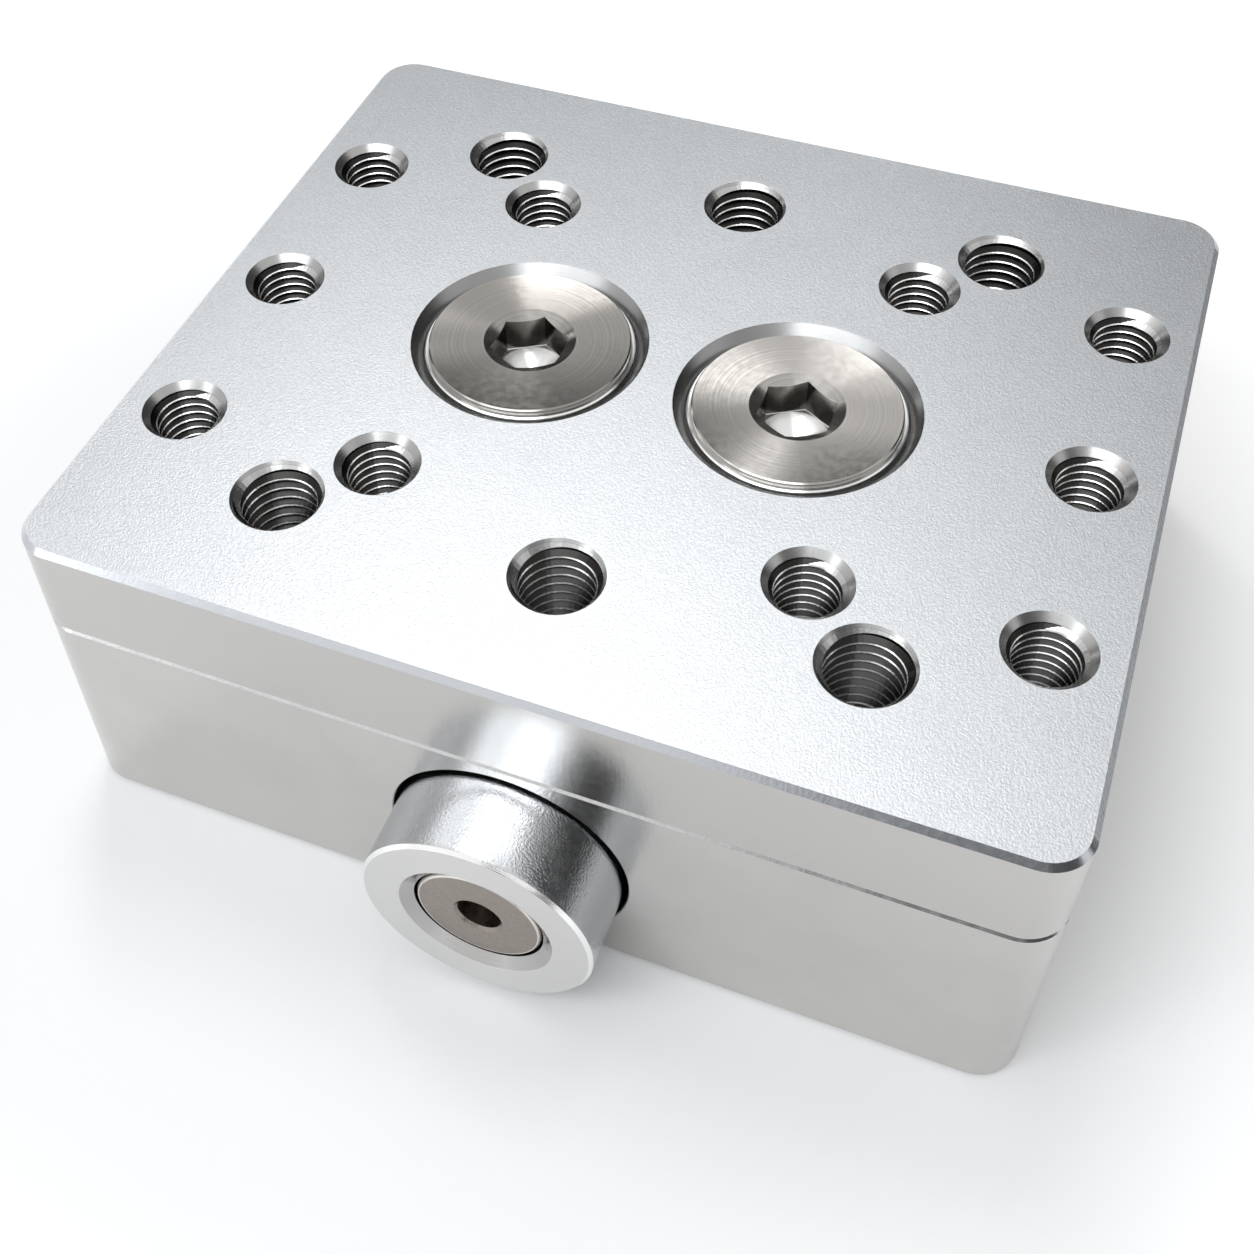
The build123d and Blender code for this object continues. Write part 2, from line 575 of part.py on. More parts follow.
# Cap screws of both rails as one group of solids
def make_rail_screws():
    seat = RAIL_TOP - RAIL_SCREW_HEAD_HEIGHT - RAIL_SCREW_SINK
    shank = RAIL_SCREW_RADIUS - SCREW_SEAT_GAP
    head_top = seat + RAIL_SCREW_HEAD_HEIGHT
    head = RAIL_SCREW_HEAD_RADIUS
    tip = RAIL_SCREW_TIP
    points = [(0, tip), (shank, tip), (shank, seat), (head, seat), (head, head_top), (0, head_top)]
    screw = turned(points) - socket(0, 0, RAIL_SOCKET_FLATS, RAIL_SOCKET_DEPTH, head_top)
    places = rail_screw_points(-RAIL_X) + rail_screw_points(RAIL_X)
    return Compound([Pos(px, py, 0) * screw for px, py in places])


# Detent: ball, coil spring and set screw
def make_detent_ball():
    return Pos(0, DETENT_Y, BALL_Z) * Sphere(DETENT_BALL_RADIUS)


def make_detent_spring():
    """Return the coil spring that presses on the ball."""
    low = BALL_Z + DETENT_BALL_RADIUS + DETENT_WIRE / 2
    height = DETENT_SCREW_BOTTOM - DETENT_WIRE / 2 - low
    path = Helix(height / DETENT_SPRING_TURNS, height, DETENT_SPRING_RADIUS - DETENT_WIRE / 2)
    wire = Plane(path @ 0, z_dir=path % 0) * Rectangle(DETENT_WIRE * 0.9, DETENT_WIRE * 0.9)
    return Pos(0, DETENT_Y, low) * sweep(wire, path=path, is_frenet=True)


def make_detent_screw():
    """Return the set screw that closes the detent bore."""
    radius = DETENT_SCREW_RADIUS - SCREW_SEAT_GAP
    body = column(0, DETENT_Y, DETENT_SCREW_BOTTOM, DETENT_SCREW_TOP, radius)
    body = chamfer(body.edges().filter_by(GeomType.CIRCLE), 0.5)
    return body - socket(0, DETENT_Y, DETENT_SOCKET_FLATS, DETENT_SOCKET_DEPTH, DETENT_SCREW_TOP)


def build():
    """Return every named piece of the assembly."""
    left, right = stud_points()
    return {
        "top_plate": make_top_plate(),
        "pull_stud_left": make_stud(*left),
        "pull_stud_right": make_stud(*right),
        "stud_screw_left": make_stud_screw(*left),
        "stud_screw_right": make_stud_screw(*right),
        "base_plate": make_base_plate(),
        "guide_bush_left": make_guide_bush(*left),
        "guide_bush_right": make_guide_bush(*right),
        "rod_bush": make_rod_bush(),
        "bottom_cover": make_bottom_cover(),
        "cover_screws": make_cover_screws(),
        "guide_rail_left": make_guide_rail(-RAIL_X),
        "guide_rail_right": make_guide_rail(RAIL_X),
        "rail_screws": make_rail_screws(),
        "detent_ball": make_detent_ball(),
        "detent_spring": make_detent_spring(),
        "detent_screw": make_detent_screw(),
        "lock_slide": make_lock_slide(),
        "push_rod": make_push_rod(),
        "push_button": make_push_button(),
        "button_screw": make_button_screw(),
        "button_ring": make_button_ring(),
    }


os.makedirs("parts", exist_ok=True)
for name, shape in build().items():
    export_step(shape, f"parts/{name}.step")
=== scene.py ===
"""Dressed model of the quick change fixture plate: finishes, cut threads, studio and camera.

Sizes of the plate and its finishes are in millimetres until they enter a node. The floor, the lamps
and the flags are in metres.
"""
from __future__ import annotations

import logging
import math
from dataclasses import dataclass, field
from enum import Enum
from typing import Any

import bpy
from mathutils import Matrix, Vector


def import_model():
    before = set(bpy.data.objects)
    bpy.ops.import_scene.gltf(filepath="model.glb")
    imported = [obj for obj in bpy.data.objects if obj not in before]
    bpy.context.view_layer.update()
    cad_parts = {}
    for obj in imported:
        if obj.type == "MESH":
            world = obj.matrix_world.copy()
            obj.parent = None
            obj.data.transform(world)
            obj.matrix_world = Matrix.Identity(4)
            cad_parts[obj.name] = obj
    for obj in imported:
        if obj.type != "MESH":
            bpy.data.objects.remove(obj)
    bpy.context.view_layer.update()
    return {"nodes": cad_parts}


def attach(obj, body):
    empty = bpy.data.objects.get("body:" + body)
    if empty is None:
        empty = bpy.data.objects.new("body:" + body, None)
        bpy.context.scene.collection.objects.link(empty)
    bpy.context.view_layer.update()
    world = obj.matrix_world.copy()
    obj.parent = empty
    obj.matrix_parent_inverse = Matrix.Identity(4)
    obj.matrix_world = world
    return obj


LOG = logging.getLogger("fixture_plate")
MM = 0.001

Colour = tuple[float, float, float]
Point = tuple[float, float, float]
Range = tuple[float, float]
Rim = tuple[float, float, float]
Number = int | float

WHITE: Colour = (1.0, 1.0, 1.0)
COOL: Colour = (0.94, 0.975, 1.0)
ROWS_PER_TURN = 5
SPARE_TURNS = 2
WALL_ROWS = 3
ROUNDING = 0.0001


class Body(Enum):
    """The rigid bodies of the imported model."""

    BASE = "base"
    PALLET = "pallet"
    BUTTON = "button"


class Slot(Enum):
    """Material slots of the record; no piece is given one here."""

    PALLET = "anodised_pallet"


class Value:
    """A number socket that turns Python operators into Math nodes."""

    def __init__(self, graph: "Graph", socket: bpy.types.NodeSocket) -> None:
        """Wrap a socket.

        Args:
            graph: The graph that the socket belongs to.
            socket: The output socket to wrap.
        """
        self.graph = graph
        self.socket = socket

    def _math(self, operation: str, *operands: Any) -> "Value":
        """Add one Math node and return its result."""
        return self.graph.value("ShaderNodeMath", {"operation": operation}, dict(enumerate(operands)))

    def __add__(self, other: Any) -> "Value":
        """Return self + other."""
        return self._math("ADD", self, other)

    def __radd__(self, other: Any) -> "Value":
        """Return other + self."""
        return self._math("ADD", other, self)

    def __sub__(self, other: Any) -> "Value":
        """Return self - other."""
        return self._math("SUBTRACT", self, other)

    def __rsub__(self, other: Any) -> "Value":
        """Return other - self."""
        return self._math("SUBTRACT", other, self)

    def __mul__(self, other: Any) -> "Value":
        """Return self * other."""
        return self._math("MULTIPLY", self, other)

    def __rmul__(self, other: Any) -> "Value":
        """Return other * self."""
        return self._math("MULTIPLY", other, self)

    def __truediv__(self, other: Any) -> "Value":
        """Return self / other."""
        return self._math("DIVIDE", self, other)

    def __rtruediv__(self, other: Any) -> "Value":
        """Return other / self."""
        return self._math("DIVIDE", other, self)

    def __abs__(self) -> "Value":
        """Return the absolute value."""
        return self._math("ABSOLUTE", self)

    def above(self, limit: Any) -> "Value":
        """Return 1 where self is greater than limit, else 0."""
        return self._math("GREATER_THAN", self, limit)

    def below(self, limit: Any) -> "Value":
        """Return 1 where self is less than limit, else 0."""
        return self._math("LESS_THAN", self, limit)

    def least(self, other: Any) -> "Value":
        """Return the smaller of self and other."""
        return self._math("MINIMUM", self, other)

    def most(self, other: Any) -> "Value":
        """Return the larger of self and other."""
        return self._math("MAXIMUM", self, other)

    def root(self) -> "Value":
        """Return the square root."""
        return self._math("SQRT", self)

    def sine(self) -> "Value":
        """Return the sine of an angle in radians."""
        return self._math("SINE", self)

    def cosine(self) -> "Value":
        """Return the cosine of an angle in radians."""
        return self._math("COSINE", self)

    def floor(self) -> "Value":
        """Return the value rounded down."""
        return self._math("FLOOR", self)

    def ramp(self, low: float, high: float) -> "Value":
        """Return 0 at low, 1 at high and a smooth step between them."""
        settings = {"interpolation_type": "SMOOTHSTEP"}
        return self.graph.value("ShaderNodeMapRange", settings, {0: self, 1: low, 2: high, 3: 0.0, 4: 1.0})


class Graph:
    """A node tree and the one method that adds nodes to it."""

    def __init__(self, tree: bpy.types.NodeTree) -> None:
        """Wrap a node tree.

        Args:
            tree: The tree of a material, a world or a geometry group.
        """
        self.tree = tree

    def node(self, kind: str, settings: dict[str, Any] | None = None,
             inputs: dict[Any, Any] | None = None) -> bpy.types.Node:
        """Add a node.

        Args:
            kind: The node's type.
            settings: Properties that are set first.
            inputs: Values or links of its sockets, by name or number.

        Returns:
            The new node.
        """
        node = self.tree.nodes.new(kind)
        for name, setting in (settings or {}).items():
            setattr(node, name, setting)
        for key, entry in (inputs or {}).items():
            self.feed(node.inputs[key], entry)
        return node

    def feed(self, socket: bpy.types.NodeSocket, entry: Any) -> None:
        """Set or link one input socket.

        Args:
            socket: The input socket.
            entry: A number, a colour, a vector, a socket or a Value.
        """
        if isinstance(entry, Value):
            entry = entry.socket
        if isinstance(entry, bpy.types.NodeSocket):
            self.tree.links.new(entry, socket)
        elif isinstance(entry, tuple) and len(entry) == 3 and socket.type == "RGBA":
            socket.default_value = (*entry, 1.0)
        else:
            socket.default_value = entry

    def value(self, kind: str, settings: dict[str, Any] | None = None,
              inputs: dict[Any, Any] | None = None) -> Value:
        """Add a node and return its first output as a Value."""
        return Value(self, self.node(kind, settings, inputs).outputs[0])


@dataclass(frozen=True)
class Noise:
    """Noise by the size of its features in millimetres.

    Detail counts the octaves of finer noise, roughness is how strong they are, and stretch multiplies
    the frequency along x, y and z.
    """

    size: float
    detail: float = 2.0
    roughness: float = 0.5
    stretch: Point = (1.0, 1.0, 1.0)


MILLING = Noise(0.5, stretch=(1.0, 1.0, 0.12))


class SurfaceGraph(Graph):
    """A material's tree with the helpers that the finishes share."""

    def __init__(self, name: str) -> None:
        """Start an empty material.

        Args:
            name: The material's name.
        """
        self.material = bpy.data.materials.new(name)
        self.material.use_nodes = True
        self.material.node_tree.nodes.clear()
        super().__init__(self.material.node_tree)
        self.coordinates = self.node("ShaderNodeTexCoord").outputs["Object"]
        parts = self.node("ShaderNodeSeparateXYZ", None, {0: self.coordinates})
        self.x, self.y, self.z = (Value(self, parts.outputs[i]) for i in range(3))

    def noise(self, noise: Noise) -> Value:
        """Add a noise texture that follows the object's own coordinates.

        Args:
            noise: Its measures.

        Returns:
            The noise, about 0.5 on average.
        """
        mapped = self.node("ShaderNodeMapping", None, {"Vector": self.coordinates, "Scale": noise.stretch})
        inputs = {"Vector": mapped.outputs[0], "Scale": 1.0 / (noise.size * MM),
                  "Detail": noise.detail, "Roughness": noise.roughness}
        return self.value("ShaderNodeTexNoise", None, inputs)

    def lines(self, travel: Value, size: float) -> Value:
        """Return noise that varies along one measure only, such as a radius for turned rings."""
        settings = {"noise_dimensions": "1D"}
        return self.value("ShaderNodeTexNoise", settings, {"W": travel / size, "Scale": 1.0, "Detail": 3.0})

    def distance(self, x: float, y: float) -> Value:
        """Return the distance from an upright axis at x, y."""
        dx, dy = self.x - x, self.y - y
        return (dx * dx + dy * dy).root()

    def from_rims(self, rims: list[Rim]) -> Value:
        """Return how far outside the nearest of several circles a point is.

        Args:
            rims: Centres and radii in millimetres, in the quarter where x and y are positive; the other
                quarters mirror it.

        Returns:
            The distance in metres, negative inside a circle.
        """
        nearest: Value | None = None
        for x, y, rim in rims:
            dx, dy = abs(self.x) - x * MM, abs(self.y) - y * MM
            gap = (dx * dx + dy * dy).root() - rim * MM
            nearest = gap if nearest is None else gap.least(nearest)
        return nearest

    def mix(self, factor: Any, first: Any, second: Any) -> bpy.types.NodeSocket:
        """Return a colour between two colours."""
        node = self.node("ShaderNodeMix", {"data_type": "RGBA"}, {0: factor, 6: first, 7: second})
        return node.outputs[2]

    def finish(self, colour: Any, roughness: Any, height: Any, depth: float,
               metallic: Any = 1.0, **constants: float) -> bpy.types.Material:
        """Close the tree with its shader and output.

        Args:
            colour: Base colour.
            roughness: Roughness.
            height: Bump height between 0 and 1.
            depth: Bump distance in metres for a height of 1.
            metallic: Metallic.
            constants: Further sockets of the shader, with underscores for spaces.

        Returns:
            The finished material.
        """
        bump = self.node("ShaderNodeBump", None, {"Strength": 1.0, "Distance": depth, "Height": height})
        inputs = {name.replace("_", " "): number for name, number in constants.items()}
        inputs.update({"Base Color": colour, "Roughness": roughness, "Metallic": metallic})
        inputs["Normal"] = bump.outputs[0]
        shader = self.node("ShaderNodeBsdfPrincipled", None, inputs)
        self.node("ShaderNodeOutputMaterial", None, {"Surface": shader.outputs[0]})
        return self.material


@dataclass(frozen=True)
class PlateLayout:
    """Sizes of the plate that the finishes and the threads share, in millimetres."""

    top: float = 53.0
    joint: float = 37.0
    stud_x: float = 20.0
    stud_mouth: float = 17.35
    side_x: float = 60.0
    side_y: float = 30.0
    inner: float = 30.0
    large: float = 40.0
    small_mouth: float = 6.0
    large_mouth: float = 6.4

    def small_points(self) -> list[tuple[float, float]]:
        """Return the centres of the smaller tapped holes."""
        sides = [(i * self.side_x, j * self.side_y) for i in (-1, 1) for j in (-1, 0, 1)]
        return sides + [(i * self.inner, j * self.inner) for i in (-1, 1) for j in (-1, 1)]

    def large_points(self) -> list[tuple[float, float]]:
        """Return the centres of the larger tapped holes."""
        return [(i * self.large, j * self.large) for i in (-1, 0, 1) for j in (-1, 1)]

    def small_rims(self, rim: float) -> list[Rim]:
        """Return the smaller holes of one quarter with a rim radius."""
        return [(self.side_x, self.side_y, rim), (self.side_x, 0.0, rim), (self.inner, self.inner, rim)]

    def large_rims(self, rim: float) -> list[Rim]:
        """Return the larger holes of one quarter with a rim radius."""
        return [(self.large, self.large, rim), (0.0, self.large, rim)]

    def stud_sides(self) -> tuple[tuple[str, float], ...]:
        """Return the name and the place along X of both studs."""
        return (("left", -self.stud_x), ("right", self.stud_x))


LAYOUT = PlateLayout()


@dataclass(frozen=True)
class BlastedPallet:
    """Bead-blasted, clear anodised top face over finely milled sides and machined holes."""

    name: str = "blasted_pallet"
    top_light: Colour = (0.63, 0.65, 0.67)
    top_dark: Colour = (0.53, 0.55, 0.57)
    side: Colour = (0.55, 0.539, 0.524)
    side_shade: float = 0.96
    bright: Colour = (0.40, 0.40, 0.395)
    # painted shade for the stud bores around the screw heads
    stud_bore_shade: Colour = (0.30, 0.30, 0.30)
    edge: float = 0.85
    edge_colour: Colour = (0.56, 0.58, 0.61)
    top_roughness: float = 0.40
    side_roughness: float = 0.20
    hole_roughness: float = 0.27
    face_margin: float = 0.03
    rim_margin: float = 0.05
    grain: Noise = Noise(0.30, 2.5, 0.65)
    grain_range: Range = (0.35, 0.65)
    grain_share: float = 0.85
    mottle: Noise = Noise(9.0, 3.0, 0.6)
    mottle_range: Range = (0.3, 0.7)
    wear_and_painted_shade: Noise = Noise(1.1, 3.0, 0.6)
    worn_range: Range = (0.35, 0.75)
    wear: float = 0.03
    ring_pitch: float = 0.25
    top_relief: float = 3.6
    ring_relief: float = 0.25
    milling_relief: float = 0.7
    side_relief: float = 0.3
    depth: float = 0.014

    def material(self) -> bpy.types.Material:
        """Build the finish.

        Returns:
            The finished material.
        """
        graph = SurfaceGraph(self.name)
        face = (LAYOUT.top - self.face_margin) * MM
        rims = LAYOUT.small_rims(LAYOUT.small_mouth) + LAYOUT.large_rims(LAYOUT.large_mouth)
        stud_gap = graph.from_rims([(LAYOUT.stud_x, 0.0, LAYOUT.stud_mouth)])
        gap = graph.from_rims(rims).least(stud_gap)
        top = graph.z.above(face)
        hole = graph.z.below(face) * gap.below(self.rim_margin * MM)
        # the stud bores around the screw heads take painted shade
        stud_bore_shade_mask = hole * stud_gap.below(self.rim_margin * MM)
        sides = (1.0 - top) * (1.0 - hole)
        edge = graph.z.above((LAYOUT.top - self.edge) * MM) * sides
        grain = graph.noise(self.grain)
        mottle = graph.noise(self.mottle)
        rings = graph.lines(gap, self.ring_pitch * MM)
        speckle = grain.ramp(*self.grain_range) * self.grain_share
        clouds = mottle.ramp(*self.mottle_range) * (1.0 - self.grain_share)
        top_colour = graph.mix(clouds + speckle, self.top_dark, self.top_light)
        side_colour = graph.mix(mottle, self.side, tuple(self.side_shade * c for c in self.side))
        colour = graph.mix(top, side_colour, top_colour)
        colour = graph.mix(edge, colour, self.edge_colour)
        colour = graph.mix(hole, colour, self.bright)
        colour = graph.mix(stud_bore_shade_mask, colour, self.stud_bore_shade)
        wear_and_painted_shade = graph.noise(self.wear_and_painted_shade).ramp(*self.worn_range) * self.wear
        roughness = top * self.top_roughness + (1.0 - top) * self.side_roughness + wear_and_painted_shade
        roughness = roughness * (1.0 - hole) + hole * self.hole_roughness
        height = top * grain * self.top_relief + hole * rings * self.ring_relief
        height = height + sides * (graph.noise(MILLING) * self.milling_relief + grain * self.side_relief)
        return graph.finish(colour, roughness, height, self.depth * MM)


@dataclass(frozen=True)
class MilledBase:
    """Clear anodised base block, smoother than the pallet's top, with painted shade along the seam under
    the pallet.
    """

    name: str = "milled_base"
    light: Colour = (0.575, 0.565, 0.55)
    dark: Colour = (0.55, 0.54, 0.525)
    edge: float = 0.62
    edge_colour: Colour = (0.60, 0.61, 0.62)
    edge_range: Range = (0.35, 0.6)
    seam: float = 0.14
    # painted shade for the gap between base and pallet
    seam_shade: Colour = (0.06, 0.06, 0.06)
    seam_margin: float = 0.01
    roughness: float = 0.20
    grain: Noise = Noise(0.35)
    mottle: Noise = Noise(12.0, 3.0, 0.6)
    mottle_range: Range = (0.3, 0.7)
    wear_and_painted_shade: Noise = Noise(2.5)
    worn_range: Range = (0.35, 0.75)
    wear: float = 0.06
    milling_relief: float = 0.5
    grain_relief: float = 0.3
    depth: float = 0.02

    def material(self) -> bpy.types.Material:
        """Build the finish.

        Returns:
            The finished material.
        """
        graph = SurfaceGraph(self.name)
        grain = graph.noise(self.grain)
        mottle = graph.noise(self.mottle)
        seam_foot = (LAYOUT.joint - self.seam) * MM
        edge = graph.z.above((LAYOUT.joint - self.edge) * MM) * graph.z.below(seam_foot)
        # a thin band just under the joint is painted dark: painted shade of the gap between base and pallet
        seam = graph.z.above(seam_foot) * graph.z.below((LAYOUT.joint - self.seam_margin) * MM)
        colour = graph.mix(mottle.ramp(*self.mottle_range), self.dark, self.light)
        colour = graph.mix(edge * grain.ramp(*self.edge_range), colour, self.edge_colour)
        colour = graph.mix(seam, colour, self.seam_shade)
        roughness = graph.noise(self.wear_and_painted_shade).ramp(*self.worn_range) * self.wear + self.roughness
        height = graph.noise(MILLING) * self.milling_relief + grain * self.grain_relief
        return graph.finish(colour, roughness, height, self.depth * MM)


@dataclass(frozen=True)
class TurnedSteel:
    """Face-turned steel with rings about an upright axis at axis_x.

    Below the cone of its chamfer a socket has walls painted dark as painted shade, and a bright floor.
    """

    name: str
    axis_x: float
    light: Colour
    dark: Colour
    disc_radius: float = 14.72
    socket_radius: float = 0.0
    socket_top: float = 52.90
    socket_slope: float = 0.5
    socket_margin: float = 0.06
    socket_floor: float = 47.0
    # painted shade for the socket's walls
    wall: Colour = (0.15, 0.14, 0.128)
    bright: Colour = (0.80, 0.80, 0.79)
    pitch: float = 0.17
    broad_pitch: float = 2.5
    fine_share: float = 0.6
    ring_range: Range = (0.25, 0.75)
    roughness: float = 0.28
    ring_roughness: float = 0.05
    wear_and_painted_shade: Noise = Noise(1.2, 3.0)
    worn_range: Range = (0.3, 0.8)
    wear: float = 0.06
    dish: float = 0.105
    dish_reach: float = 20.0
    depth: float = 0.001
    anisotropy: float = 0.893
    anisotropy_turn: float = 0.25

    def material(self) -> bpy.types.Material:
        """Build the finish.

        Returns:
            The finished material.
        """
        graph = SurfaceGraph(self.name)
        radius = graph.distance(self.axis_x * MM, 0.0)
        funnel = (self.socket_radius * MM - radius) * self.socket_slope
        cone = graph.z - self.socket_top * MM + funnel
        inside = radius.below(self.socket_radius * MM) * cone.below(-self.socket_margin * MM)
        floor = inside * graph.z.below(self.socket_floor * MM)
        fine = graph.lines(radius, self.pitch * MM)
        broad = graph.lines(radius, self.broad_pitch * self.pitch * MM)
        rings = (fine * self.fine_share + broad * (1.0 - self.fine_share)).ramp(*self.ring_range)
        colour = graph.mix(rings, self.light, self.dark)
        colour = graph.mix(radius.above(self.disc_radius * MM), colour, self.bright)
        # the socket's walls take painted shade
        colour = graph.mix(inside, colour, self.wall)
        colour = graph.mix(floor, colour, self.bright)
        wear_and_painted_shade = graph.noise(self.wear_and_painted_shade).ramp(*self.worn_range) * self.wear
        roughness = wear_and_painted_shade + rings * self.ring_roughness + self.roughness
        dished = (1.0 - inside) * radius * radius * (self.dish / (self.dish_reach * MM))
        return graph.finish(colour, roughness, rings * (self.depth * MM) + dished, 1.0,
                            Anisotropic=self.anisotropy, Anisotropic_Rotation=self.anisotropy_turn)


@dataclass(frozen=True)
class TurnedAlongButton:
    """Turned finish with rings about the button's axis and a soft orange-peel skin."""

    name: str
    light: Colour
    dark: Colour
    axis_z: float = 17.8
    face_y: float = -71.5
    mottle: Noise = Noise(6.0, 3.0)
    barrel: Colour = (0.575, 0.595, 0.62)
    barrel_radius: float = 16.0
    shoulder: float = 1.0
    # painted shade for the recessed middle of the face
    recess_shade: Colour = (0.46, 0.455, 0.45)
    recess_radius: float = 0.0
    recess_depth: float = 0.04
    rim: Range = (0.0, 0.0)
    # a painted highlight for the rim ring
    rim_highlight: Colour = (0.74, 0.71, 0.67)
    pitch: float = 0.30
    lead: float = 0.7
    ring_share: float = 0.03
    skin: Noise = Noise(0.33, 2.5, 0.55)
    skin_share: float = 1.0
    roughness: float = 0.17
    wear_and_painted_shade: Noise = Noise(1.5)
    worn_range: Range = (0.3, 0.8)
    wear: float = 0.07
    barrel_polish: float = 0.07
    depth: float = 0.058

    def material(self) -> bpy.types.Material:
        """Build the finish.

        Returns:
            The finished material.
        """
        graph = SurfaceGraph(self.name)
        dz = graph.z - self.axis_z * MM
        radius = (graph.x * graph.x + dz * dz).root()
        travel = radius + graph.y * self.lead
        rings = (travel * (2.0 * math.pi / (self.pitch * MM))).sine() * 0.5 + 0.5
        behind = (graph.y - self.face_y * MM).ramp(0.0, self.shoulder * MM)
        barrel = behind * radius.above(self.barrel_radius * MM)
        skin = graph.noise(self.skin) * barrel
        sunk = radius.below(self.recess_radius * MM) * graph.y.above((self.face_y + self.recess_depth) * MM)
        rim = radius.above(self.rim[0] * MM) * radius.below(self.rim[1] * MM)
        colour = graph.mix(graph.noise(self.mottle), self.dark, self.light)
        colour = graph.mix(barrel, colour, self.barrel)
        # the recessed middle of the face is painted darker: painted shade
        colour = graph.mix(sunk, colour, self.recess_shade)
        # the rim ring is painted light: a painted highlight along the edge
        colour = graph.mix(rim, colour, self.rim_highlight)
        wear_and_painted_shade = graph.noise(self.wear_and_painted_shade).ramp(*self.worn_range) * self.wear
        roughness = wear_and_painted_shade + self.roughness - barrel * self.barrel_polish
        height = rings * self.ring_share + skin * self.skin_share
        return graph.finish(colour, roughness, height, self.depth * MM)


@dataclass(frozen=True)
class PlainMetal:
    """Metal with even machining grain, tone variation and light wear."""

    name: str
    light: Colour
    dark: Colour
    roughness: float = 0.25
    metallic: float = 1.0
    grain: Noise = Noise(0.3, 3.0, 0.6)
    mottle: Noise = Noise(4.0, 3.0, 0.6)
    mottle_range: Range = (0.25, 0.75)
    wear_and_painted_shade: Noise = Noise(1.4, 3.0)
    worn_range: Range = (0.3, 0.75)
    wear: float = 0.12
    depth: float = 0.008

    def material(self) -> bpy.types.Material:
        """Build the finish.

        Returns:
            The finished material.
        """
        graph = SurfaceGraph(self.name)
        mottle = graph.noise(self.mottle).ramp(*self.mottle_range)
        colour = graph.mix(mottle, self.dark, self.light)
        roughness = graph.noise(self.wear_and_painted_shade).ramp(*self.worn_range) * self.wear + self.roughness
        return graph.finish(colour, roughness, graph.noise(self.grain), self.depth * MM, self.metallic)


@dataclass(frozen=True)
class ThreadFinish:
    """Cut aluminium thread: crests painted bright as a painted highlight over flanks and roots painted dark
    as painted shade.
    """

    name: str
    crests: list[Rim]
    sink_depth: float
    sink_margin: float = 0.06
    # bright is a painted highlight on the crests and dark is painted shade on the flanks and roots
    bright: Colour = (0.95, 0.95, 0.94)
    dark: Colour = (0.026, 0.025, 0.024)
    cut: Colour = (0.50, 0.50, 0.495)
    crest_width: float = 0.19
    ragged: float = 0.06
    grain: Noise = Noise(0.3, 3.0, 0.6)
    roughness: float = 0.20
    wear: float = 0.1
    depth: float = 0.006

    def material(self) -> bpy.types.Material:
        """Build the finish.

        Returns:
            The finished material.
        """
        graph = SurfaceGraph(self.name)
        inside = graph.from_rims(self.crests)
        grain = graph.noise(self.grain)
        deep = inside + grain * (self.ragged * MM)
        # the mask is 0 at the crests, which take the painted highlight, and 1 on the flanks and roots,
        # which take the painted shade
        wear_and_painted_shade = deep.ramp(0.5 * self.crest_width * MM, self.crest_width * MM)
        sink_foot = (LAYOUT.top - self.sink_depth - self.sink_margin) * MM
        sink = (graph.z - inside - sink_foot).above(0.0)
        colour = graph.mix(wear_and_painted_shade, self.bright, self.dark)
        colour = graph.mix(sink, colour, self.cut)
        roughness = grain * self.wear + self.roughness
        return graph.finish(colour, roughness, grain, self.depth * MM)


@dataclass(frozen=True)
class SealRubber:
    """Matt black moulded rubber."""

    name: str = "seal_rubber"
    light: Colour = (0.035, 0.035, 0.036)
    dark: Colour = (0.018, 0.018, 0.019)
    grain: Noise = Noise(0.15)
    dust: Noise = Noise(2.0, 3.0)
    dust_range: Range = (0.4, 0.8)
    roughness: float = 0.55
    wear: float = 0.1
    depth: float = 0.01

    def material(self) -> bpy.types.Material:
        """Build the finish.

        Returns:
            The finished material.
        """
        graph = SurfaceGraph(self.name)
        dust = graph.noise(self.dust).ramp(*self.dust_range)
        colour = graph.mix(dust, self.dark, self.light)
        roughness = dust * self.wear + self.roughness
        return graph.finish(colour, roughness, graph.noise(self.grain), self.depth * MM, 0.0)


